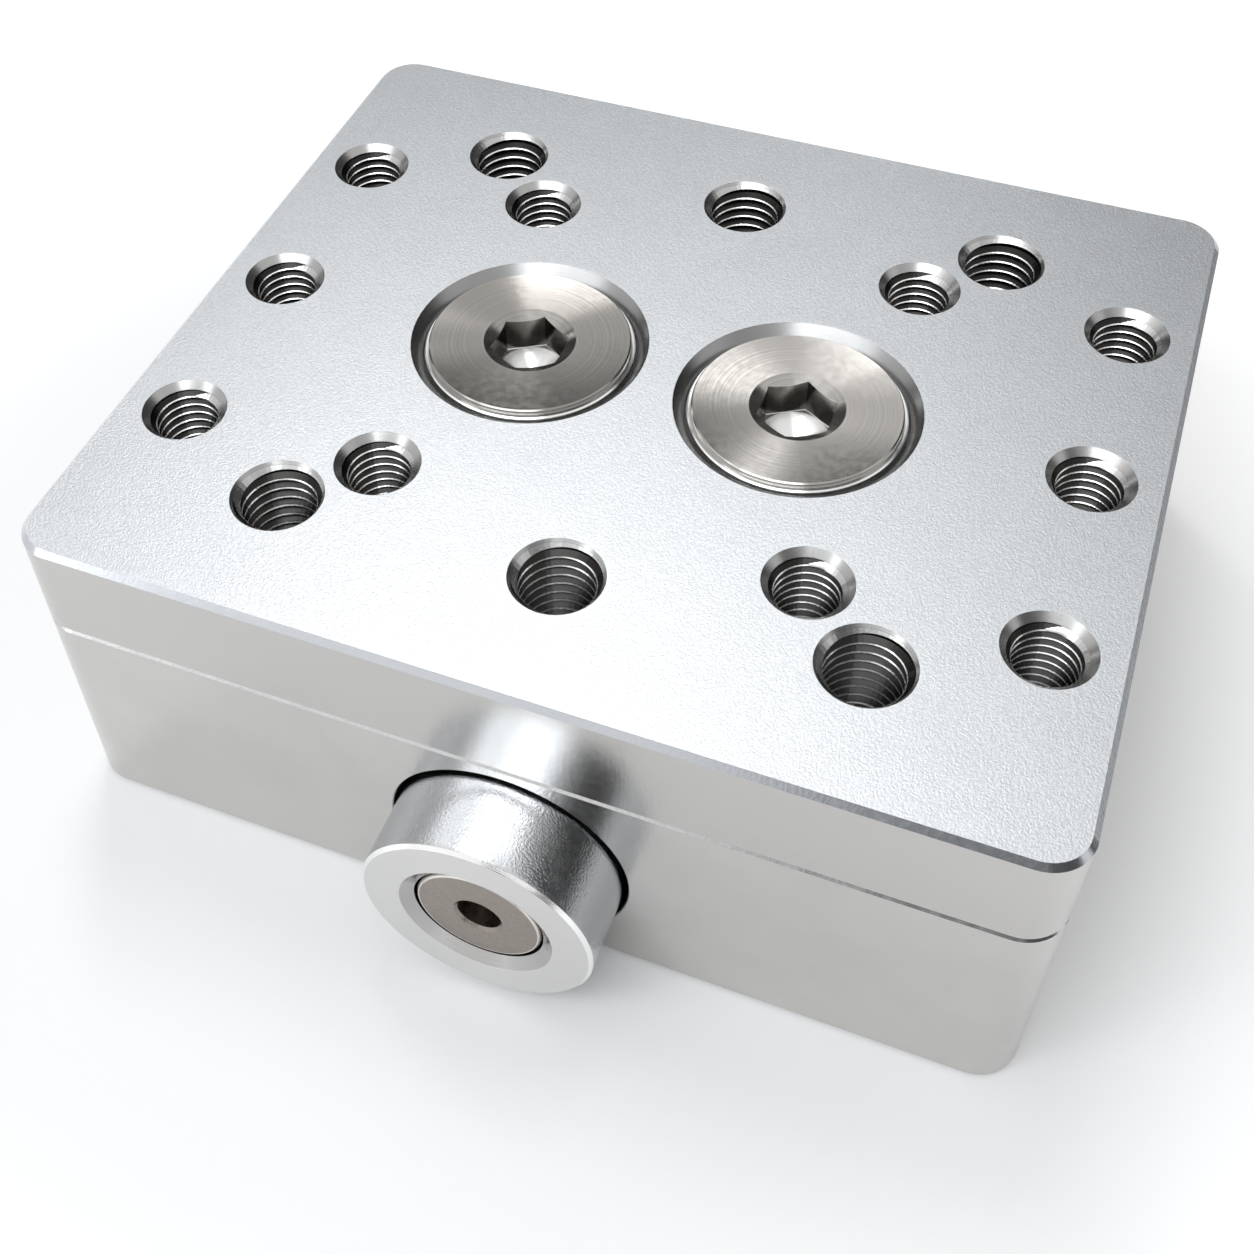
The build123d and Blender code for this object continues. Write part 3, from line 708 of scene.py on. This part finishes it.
class GeometryGraph(Graph):
    """A geometry node group with named inputs that is run once on a cloud of points."""

    def __init__(self, name: str, inputs: dict[str, Number]) -> None:
        """Start a group.

        Args:
            name: The group's name.
            inputs: Its named inputs with their values; an int makes an integer socket.
        """
        group = bpy.data.node_groups.new(name, "GeometryNodeTree")
        super().__init__(group)
        self.name = name
        self.numbers = inputs
        self.identifiers: dict[str, str] = {}
        group.interface.new_socket("Points", in_out="INPUT", socket_type="NodeSocketGeometry")
        for label, number in inputs.items():
            kind = "NodeSocketInt" if isinstance(number, int) else "NodeSocketFloat"
            socket = group.interface.new_socket(label, in_out="INPUT", socket_type=kind)
            self.identifiers[label] = socket.identifier
        group.interface.new_socket("Geometry", in_out="OUTPUT", socket_type="NodeSocketGeometry")
        self.entry = self.node("NodeGroupInput")
        self.exit = self.node("NodeGroupOutput")

    def input(self, label: str) -> Value:
        """Return a named input of the group."""
        return Value(self, self.entry.outputs[label])

    def close(self, geometry: bpy.types.NodeSocket, material: bpy.types.Material) -> None:
        """End the tree in Realize Instances and Set Material.

        Args:
            geometry: What the group makes.
            material: The finish of all of it.
        """
        real = self.node("GeometryNodeRealizeInstances", None, {0: geometry})
        inputs = {"Geometry": real.outputs[0], "Material": material}
        dressed = self.node("GeometryNodeSetMaterial", None, inputs)
        self.tree.links.new(dressed.outputs[0], self.exit.inputs[0])

    def mesh_object(self, name: str, points: list[Point]) -> bpy.types.Object:
        """Evaluate the group on a cloud of points and keep the result as a plain mesh.

        Args:
            name: The new object's name.
            points: Vertices that the group receives, in metres.

        Returns:
            An object at the origin that holds the plain mesh.
        """
        cloud = bpy.data.meshes.new(f"{name}_points")
        cloud.from_pydata(points, [], [])
        carrier = bpy.data.objects.new(f"{name}_carrier", cloud)
        bpy.context.scene.collection.objects.link(carrier)
        modifier = carrier.modifiers.new(self.name, "NODES")
        modifier.node_group = self.tree
        for label, number in self.numbers.items():
            modifier[self.identifiers[label]] = number
        evaluated = carrier.evaluated_get(bpy.context.evaluated_depsgraph_get())
        mesh = bpy.data.meshes.new_from_object(evaluated)
        mesh.name = name
        carrier.modifiers.clear()
        bpy.data.objects.remove(carrier)
        piece = bpy.data.objects.new(name, mesh)
        bpy.context.scene.collection.objects.link(piece)
        return piece


@dataclass
class CutThread:
    """Internal thread of one size, cut into every hole of that size.

    The surface follows the helix row by row. Going down, each turn has the end of the root, the start
    of the crest's bevel, the two edges of the crest and the start of the next root. Shares are the
    parts of the pitch between these rows. The countersink trims the first turns.
    """

    name: str
    points: list[tuple[float, float]]
    major: float
    minor: float
    pitch: float
    mouth: float
    start: float
    end_gap: float = 0.6
    segments: int = 48
    shares: tuple[float, ...] = (0.31, 0.11, 0.07, 0.36)
    bevel: float = 0.17
    wall_gap: float = 0.015
    weld: float = 0.002

    def graph(self, material: bpy.types.Material) -> GeometryGraph:
        """Build the thread's node group.

        Args:
            material: The finish of the thread.

        Returns:
            The finished group.
        """
        end = LAYOUT.joint + self.end_gap
        turns = math.ceil((LAYOUT.top - end) / self.pitch) + SPARE_TURNS
        graph = GeometryGraph(self.name, {
            "Major Radius": (self.major - self.wall_gap) * MM, "Minor Radius": self.minor * MM,
            "Pitch": self.pitch * MM, "Mouth Radius": self.mouth * MM, "Top": LAYOUT.top * MM,
            "Bottom": end * MM, "Bevel": self.bevel * MM, "Start": self.start,
            "Segments": self.segments, "Rows": ROWS_PER_TURN * turns + WALL_ROWS})
        strip = graph.node("GeometryNodeMeshGrid", None, {
            "Vertices X": graph.input("Segments") + 1.0, "Vertices Y": graph.input("Rows")})
        shaped = graph.node("GeometryNodeSetPosition", None, {
            "Geometry": strip.outputs[0], "Position": self._places(graph)})
        welded = graph.node("GeometryNodeMergeByDistance", None, {
            "Geometry": shaped.outputs[0], "Distance": self.weld * MM})
        cloud = graph.node("GeometryNodeMeshToPoints", None, {0: graph.entry.outputs["Points"]})
        holes = graph.node("GeometryNodeInstanceOnPoints", None, {
            "Points": cloud.outputs[0], "Instance": welded.outputs[0]})
        graph.close(holes.outputs[0], material)
        return graph

    def _places(self, graph: GeometryGraph) -> bpy.types.NodeSocket:
        """Wrap a strip of rows by segments into a tube with the thread inside.

        The first row and the last two form the outer wall, and those between them the turns.

        Args:
            graph: The thread's node group.

        Returns:
            The places of the strip's vertices.
        """
        major, mouth = graph.input("Major Radius"), graph.input("Mouth Radius")
        top, bottom = graph.input("Top"), graph.input("Bottom")
        rows = graph.input("Rows")
        index = graph.value("GeometryNodeInputIndex")
        column = (index / rows + ROUNDING).floor()
        row = index - column * rows
        angle = column * (2.0 * math.pi) / graph.input("Segments")
        step = row - 1.0
        turn = (step / ROWS_PER_TURN + ROUNDING).floor()
        corner = step - turn * ROWS_PER_TURN
        # rows and corners are whole numbers, so each limit lies half-way between two of them
        along = sum(corner.above(i + 0.5) * share for i, share in enumerate(self.shares))
        crest = corner.above(1.5) * corner.below(3.5)
        bevel = corner.above(0.5) * corner.below(1.5)
        outer_top = row.below(0.5) + row.above(rows - 1.5)
        outer_bottom = row.above(rows - 2.5) * row.below(rows - 1.5)
        lead = turn + along + angle / (2.0 * math.pi) - graph.input("Start")
        height = top - lead * graph.input("Pitch")
        # rows above the countersink's foot or below the thread's end lie flat on the outer wall
        foot = top - (mouth - major)
        spent = height.below(bottom)
        height = height.least(foot).most(bottom)
        height = height * (1.0 - outer_top) + foot * outer_top
        height = height * (1.0 - outer_bottom) + bottom * outer_bottom
        wall = (outer_top + outer_bottom + spent).least(1.0)
        cut_depth = major - graph.input("Minor Radius")
        thread_radius = major - crest * cut_depth - bevel * (cut_depth - graph.input("Bevel"))
        inside = thread_radius.most(mouth - (top - height)).least(major)
        radius = inside * (1.0 - wall) + major * wall
        place = graph.node("ShaderNodeCombineXYZ", None, {
            0: radius * angle.cosine(), 1: radius * angle.sine(), 2: height})
        return place.outputs[0]

    def build(self, material: bpy.types.Material) -> bpy.types.Object:
        """Cut the thread into all its holes and put it on the pallet.

        Args:
            material: The finish of the thread.

        Returns:
            The new piece.
        """
        points = [(x * MM, y * MM, 0.0) for x, y in self.points]
        piece = self.graph(material).mesh_object(self.name, points)
        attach(piece, Body.PALLET.value)
        return piece


class CadNodes:
    """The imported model's nodes and the way they take a finish."""

    def __init__(self, nodes: dict[str, bpy.types.Object]) -> None:
        """Keep the nodes.

        Args:
            nodes: CAD objects by node name.
        """
        self.nodes = nodes

    def dress(self, material: bpy.types.Material, *names: str) -> None:
        """Give a finish to the named nodes through their object slots.

        Args:
            material: The finish.
            names: The nodes' names.
        """
        for name in names:
            for slot in self.nodes[name].material_slots:
                slot.link = "OBJECT"
                slot.material = material
            LOG.info("dressed %s in %s", name, material.name)


@dataclass
class Pallet:
    """Lift-off top plate with its studs, their screws and the cut threads."""

    body: Body = Body.PALLET
    finish: BlastedPallet = BlastedPallet()
    # one screw finish in two copies: darker on the left as painted shade, lighter on the right as painted
    # light
    screw_tones_lit_and_shaded: dict[str, tuple[Colour, Colour]] = field(default_factory=lambda: {
        "left": ((0.34, 0.327, 0.31), (0.285, 0.273, 0.255)),
        "right": ((0.435, 0.42, 0.40), (0.375, 0.36, 0.34))})
    screw_roughness: float = 0.15
    socket_radius: float = 6.72
    stud_tones: tuple[Colour, Colour] = ((0.60, 0.60, 0.60), (0.48, 0.48, 0.48))

    def build(self, cad: CadNodes) -> None:
        """Dress the pallet's nodes and cut its threads.

        Args:
            cad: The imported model's nodes.
        """
        cad.dress(self.finish.material(), "top_plate")
        for side, x in LAYOUT.stud_sides():
            screw = TurnedSteel(f"turned_screw_{side}", x, *self.screw_tones_lit_and_shaded[side],
                                roughness=self.screw_roughness, socket_radius=self.socket_radius)
            cad.dress(screw.material(), f"stud_screw_{side}")
            stud = TurnedSteel(f"ground_stud_{side}", x, *self.stud_tones, pitch=0.3, roughness=0.26)
            cad.dress(stud.material(), f"pull_stud_{side}")
        small = CutThread("threads_small", LAYOUT.small_points(), major=5.0, minor=4.25, pitch=1.5,
                          mouth=LAYOUT.small_mouth, start=1.5)
        large = CutThread("threads_large", LAYOUT.large_points(), major=6.0, minor=5.1, pitch=1.75,
                          mouth=LAYOUT.large_mouth, start=1.29)
        for thread, rims in ((small, LAYOUT.small_rims), (large, LAYOUT.large_rims)):
            finish = ThreadFinish(f"cut_{thread.name}", rims(thread.minor), thread.mouth - thread.minor)
            piece = thread.build(finish.material())
            LOG.info("built %s", piece.name)


@dataclass
class BaseBlock:
    """Base with its bushes, rails, cover and detent."""

    body: Body = Body.BASE
    finish: MilledBase = MilledBase()
    cover: MilledBase = MilledBase("milled_cover", (0.76, 0.755, 0.75), (0.70, 0.70, 0.695), roughness=0.34)
    bush_tones: tuple[Colour, Colour] = ((0.66, 0.66, 0.66), (0.56, 0.56, 0.56))
    black: PlainMetal = PlainMetal(
        "black_oxide", (0.07, 0.07, 0.075), (0.035, 0.035, 0.04), roughness=0.42, metallic=0.7,
        grain=Noise(0.2, 3.0, 0.6))
    rail: PlainMetal = PlainMetal(
        "ground_rail", (0.50, 0.51, 0.52), (0.40, 0.41, 0.42), roughness=0.24,
        grain=Noise(0.3, 3.0, 0.6, (1.0, 0.08, 1.0)))
    bronze: PlainMetal = PlainMetal(
        "turned_bronze", (0.68, 0.50, 0.26), (0.55, 0.39, 0.19), roughness=0.28)
    ball: PlainMetal = PlainMetal(
        "polished_ball", (0.80, 0.80, 0.80), (0.74, 0.74, 0.74), roughness=0.05,
        grain=Noise(0.5, 3.0, 0.6), depth=0.001)
    spring: PlainMetal = PlainMetal(
        "spring_wire", (0.45, 0.45, 0.47), (0.32, 0.32, 0.34), roughness=0.26,
        grain=Noise(0.15, 3.0, 0.6))

    def build(self, cad: CadNodes) -> None:
        """Dress the base's nodes.

        Args:
            cad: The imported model's nodes.
        """
        cad.dress(self.finish.material(), "base_plate")
        cad.dress(self.cover.material(), "bottom_cover")
        for side, x in LAYOUT.stud_sides():
            bush = TurnedSteel(f"ground_bush_{side}", x, *self.bush_tones, pitch=0.25, roughness=0.22)
            cad.dress(bush.material(), f"guide_bush_{side}")
        cad.dress(self.black.material(), "cover_screws", "rail_screws", "detent_screw")
        cad.dress(self.rail.material(), "guide_rail_left", "guide_rail_right")
        cad.dress(self.bronze.material(), "rod_bush")
        cad.dress(self.ball.material(), "detent_ball")
        cad.dress(self.spring.material(), "detent_spring")


@dataclass
class ButtonUnit:
    """Push button with its rod, screw, sealing ring and the lock slide."""

    body: Body = Body.BUTTON
    # the cap's rim ring takes a brighter painted highlight
    cap: TurnedAlongButton = TurnedAlongButton(
        "satin_button", (0.69, 0.685, 0.675), (0.66, 0.655, 0.645), recess_radius=11.4,
        rim=(15.88, 16.36), rim_highlight=(0.92, 0.92, 0.92))
    rod: TurnedAlongButton = TurnedAlongButton(
        "ground_rod", (0.66, 0.66, 0.66), (0.58, 0.58, 0.58), skin_share=0.0)
    # the screw's rim ring takes the default painted highlight
    screw: TurnedAlongButton = TurnedAlongButton(
        "nickel_screw", (0.31, 0.278, 0.246), (0.275, 0.247, 0.22), roughness=0.26,
        skin_share=0.0, depth=0.003, rim=(8.4, 8.7))
    slide: PlainMetal = PlainMetal(
        "ground_slide", (0.55, 0.55, 0.56), (0.44, 0.44, 0.45), roughness=0.22,
        grain=Noise(0.3, 3.0, 0.6, (0.08, 1.0, 1.0)))
    seal: SealRubber = SealRubber()

    def build(self, cad: CadNodes) -> None:
        """Dress the button's nodes.

        Args:
            cad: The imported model's nodes.
        """
        cad.dress(self.cap.material(), "push_button")
        cad.dress(self.rod.material(), "push_rod")
        cad.dress(self.screw.material(), "button_screw")
        cad.dress(self.slide.material(), "lock_slide")
        cad.dress(self.seal.material(), "button_ring")


@dataclass(frozen=True)
class Bearing:
    """A place around the plate, by compass direction, elevation and roll in degrees."""

    direction: float
    elevation: float
    distance: float = 0.9
    roll: float = 0.0
    target: Point = (0.0, 0.0, 0.04)

    def matrix(self) -> Matrix:
        """Find the placement of a panel there.

        Returns:
            A matrix whose -Z looks at the target.
        """
        turn, rise = math.radians(self.direction), math.radians(self.elevation)
        outward = Vector((math.cos(rise) * math.cos(turn), math.cos(rise) * math.sin(turn), math.sin(rise)))
        place = Vector(self.target) + outward * self.distance
        facing = (-outward).to_track_quat("-Z", "Y").to_matrix().to_4x4()
        return Matrix.Translation(place) @ facing @ Matrix.Rotation(math.radians(self.roll), 4, "Z")


@dataclass(frozen=True)
class Lamp:
    """A soft rectangular lamp of even brightness that looks at the plate."""

    name: str
    bearing: Bearing
    width: float
    height: float
    brightness: float
    colour: Colour = WHITE

    def build(self) -> None:
        """Hang the lamp."""
        light = bpy.data.lights.new(self.name, "AREA")
        light.shape = "RECTANGLE"
        light.size, light.size_y = self.width, self.height
        light.energy = self.brightness * math.pi * self.width * self.height
        light.color = self.colour
        lamp = bpy.data.objects.new(self.name, light)
        lamp.matrix_world = self.bearing.matrix()
        bpy.context.scene.collection.objects.link(lamp)


@dataclass(frozen=True)
class Flag:
    """A grey studio flag that only reflections see, so that metal has something dark to mirror."""

    name: str
    bearing: Bearing
    width: float
    height: float
    grey: float

    def build(self) -> None:
        """Stand the flag up."""
        x, y = self.width / 2, self.height / 2
        mesh = bpy.data.meshes.new(self.name)
        mesh.from_pydata([(-x, -y, 0.0), (x, -y, 0.0), (x, y, 0.0), (-x, y, 0.0)], [], [(0, 1, 2, 3)])
        graph = SurfaceGraph(self.name)
        colour = (self.grey, self.grey, self.grey)
        shade = graph.node("ShaderNodeEmission", None, {"Color": colour, "Strength": 1.0})
        graph.node("ShaderNodeOutputMaterial", None, {"Surface": shade.outputs[0]})
        mesh.materials.append(graph.material)
        flag = bpy.data.objects.new(self.name, mesh)
        flag.matrix_world = self.bearing.matrix()
        flag.visible_camera = flag.visible_diffuse = flag.visible_shadow = False
        bpy.context.scene.collection.objects.link(flag)


@dataclass
class Studio:
    """Pale floor, white surroundings, soft lamps and grey flags."""

    floor_colour: Colour = (0.93, 0.93, 0.935)
    floor_size: float = 6.0
    floor_drop: float = 0.0002
    floor_mottle: Noise = Noise(400.0)
    floor_shade: float = 0.995
    floor_roughness: float = 0.5
    floor_lift: float = 0.016
    # painted light: the floor glows more with distance from a point beside the plate, which whitens the
    # floor away from it and narrows the plate's shadow
    far_painted_light: float = 0.24
    painted_light_reach: tuple[float, float] = (0.085, 0.17)
    painted_light_centre: tuple[float, float] = (-0.024, -0.020)
    ambient: float = 0.48
    lamps: tuple[Lamp, ...] = (
        Lamp("back_panel", Bearing(120.1, 69.0, roll=10.2), 0.129, 0.385, 7.80),
        Lamp("back_strip", Bearing(128.8, 57.0, roll=-8.3), 0.088, 0.254, 5.07),
        Lamp("left_strip", Bearing(157.5, 19.5, roll=-1.6), 0.076, 0.439, 2.13),
        Lamp("right_strip", Bearing(91.7, 49.2, roll=-40.3), 0.129, 0.129, 2.55),
        Lamp("high_strip", Bearing(120.8, 80.1, roll=-55.1), 0.479, 0.042, 2.04),
        Lamp("low_strip", Bearing(97.6, 30.6, roll=-7.4), 0.047, 0.299, 1.98),
        Lamp("front_panel", Bearing(262.0, 56.0), 0.74, 0.27, 4.5, COOL),
        Lamp("front_left_panel", Bearing(224.0, 32.0), 0.26, 0.38, 2.7, COOL),
        Lamp("left_panel", Bearing(200.0, 50.0), 0.4, 0.4, 0.4),
    )
    flags: tuple[Flag, ...] = (
        Flag("back_flag", Bearing(85.7, 16.3, 1.0), 1.054, 0.849, 0.053),
        Flag("right_flag", Bearing(59.8, 22.0, 1.0), 1.036, 0.877, 0.077),
        Flag("left_flag", Bearing(143.7, 12.5, 1.0), 1.016, 0.860, 0.078),
        Flag("middle_flag", Bearing(111.0, 26.9, 1.0), 0.742, 0.099, 0.227),
        Flag("front_right_flag", Bearing(325.0, 15.0, 1.0), 1.0, 0.90, 0.09),
        Flag("front_low_flag", Bearing(281.0, 30.0, 1.0), 0.44, 0.27, 0.08),
        Flag("far_right_flag", Bearing(40.0, 2.0), 1.0, 0.5, 0.04),
    )

    def build(self) -> None:
        """Build floor, world, lamps and flags."""
        self._floor()
        self._world()
        for piece in (*self.lamps, *self.flags):
            piece.build()
        LOG.info("built the studio with %d lamps and %d flags", len(self.lamps), len(self.flags))

    def _floor(self) -> None:
        """Lay the floor, white where nothing shades it, with painted light that grows with distance from a
        point beside the plate.
        """
        half, low = self.floor_size / 2, -self.floor_drop
        mesh = bpy.data.meshes.new("floor")
        corners = [(-half, -half, low), (half, -half, low), (half, half, low), (-half, half, low)]
        mesh.from_pydata(corners, [], [(0, 1, 2, 3)])
        floor = bpy.data.objects.new("floor", mesh)
        bpy.context.scene.collection.objects.link(floor)
        graph = SurfaceGraph("pale_floor")
        shade = tuple(self.floor_shade * c for c in self.floor_colour)
        colour = graph.mix(graph.noise(self.floor_mottle), self.floor_colour, shade)
        shader = graph.node("ShaderNodeBsdfPrincipled", None, {
            "Base Color": colour, "Roughness": self.floor_roughness})
        # the even lift plus painted light that grows with distance from a point beside the plate
        glow_with_painted_light = graph.distance(*self.painted_light_centre).ramp(*self.painted_light_reach) * self.far_painted_light + self.floor_lift
        glow = graph.node("ShaderNodeEmission", None, {
            "Color": WHITE, "Strength": self._seen(graph) * glow_with_painted_light})
        both = graph.node("ShaderNodeAddShader", None, {0: shader.outputs[0], 1: glow.outputs[0]})
        graph.node("ShaderNodeOutputMaterial", None, {"Surface": both.outputs[0]})
        mesh.materials.append(graph.material)

    @staticmethod
    def _seen(graph: Graph) -> Value:
        """Find the rays that show the surroundings.

        Args:
            graph: The graph that asks.

        Returns:
            1 for camera, glossy and transmission rays, else 0.
        """
        path = graph.node("ShaderNodeLightPath")
        camera, glossy, through = (Value(graph, path.outputs[f"Is {kind} Ray"])
                                   for kind in ("Camera", "Glossy", "Transmission"))
        return camera.most(glossy).most(through)

    def _world(self) -> None:
        """Surround the plate with white for the camera and soft light for the rest."""
        world = bpy.data.worlds.new("surroundings")
        world.use_nodes = True
        world.node_tree.nodes.clear()
        graph = Graph(world.node_tree)
        seen = self._seen(graph)
        strength = seen + (1.0 - seen) * self.ambient
        background = graph.node("ShaderNodeBackground", None, {"Color": WHITE, "Strength": strength})
        graph.node("ShaderNodeOutputWorld", None, {"Surface": background.outputs[0]})
        bpy.context.scene.world = world


@dataclass
class PhotoCamera:
    """Camera at the photograph's viewing angle, from its calibrated pose.

    Rotation is an axis times its angle and offset is in millimetres. Both lead from the plate's frame
    to the camera's, whose axes point right, down and forward.
    """

    frame_pixels: float = 1254.0
    focal_pixels: float = 1681.7164
    centre: tuple[float, float] = (549.3932, 480.0535)
    rotation: Point = (2.360283, 0.4400975, -0.212656)
    offset: Point = (17.26121, 20.790188, 276.62904)
    sensor: float = 36.0
    near: float = 0.01

    def build(self) -> None:
        """Place the camera and make it the scene's."""
        axis = Vector(self.rotation)
        turn = Matrix.Rotation(axis.length, 3, axis.normalized())
        eye = -(turn.transposed() @ Vector(self.offset)) * MM
        right, down, forward = turn[0], turn[1], turn[2]
        basis = Matrix((right, -down, -forward)).transposed()
        data = bpy.data.cameras.new("photo_camera")
        data.sensor_fit = "HORIZONTAL"
        data.sensor_width = self.sensor
        data.lens = self.focal_pixels / self.frame_pixels * self.sensor
        data.shift_x = (self.frame_pixels / 2 - self.centre[0]) / self.frame_pixels
        data.shift_y = (self.centre[1] - self.frame_pixels / 2) / self.frame_pixels
        data.clip_start = self.near
        camera = bpy.data.objects.new("photo_camera", data)
        camera.matrix_world = Matrix.Translation(eye) @ basis.to_4x4()
        bpy.context.scene.collection.objects.link(camera)
        bpy.context.scene.camera = camera


def main() -> None:
    """Build every sub-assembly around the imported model, then the studio and the camera."""
    logging.basicConfig(level=logging.INFO, format="%(name)s: %(message)s")
    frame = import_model()
    cad = CadNodes(frame["nodes"])
    for unit in (Pallet(), BaseBlock(), ButtonUnit()):
        unit.build(cad)
        LOG.info("finished %s, body %s", type(unit).__name__, unit.body.value)
    Studio().build()
    PhotoCamera().build()
    bpy.context.scene.view_settings.view_transform = "Standard"


if __name__ == "__main__":
    main()
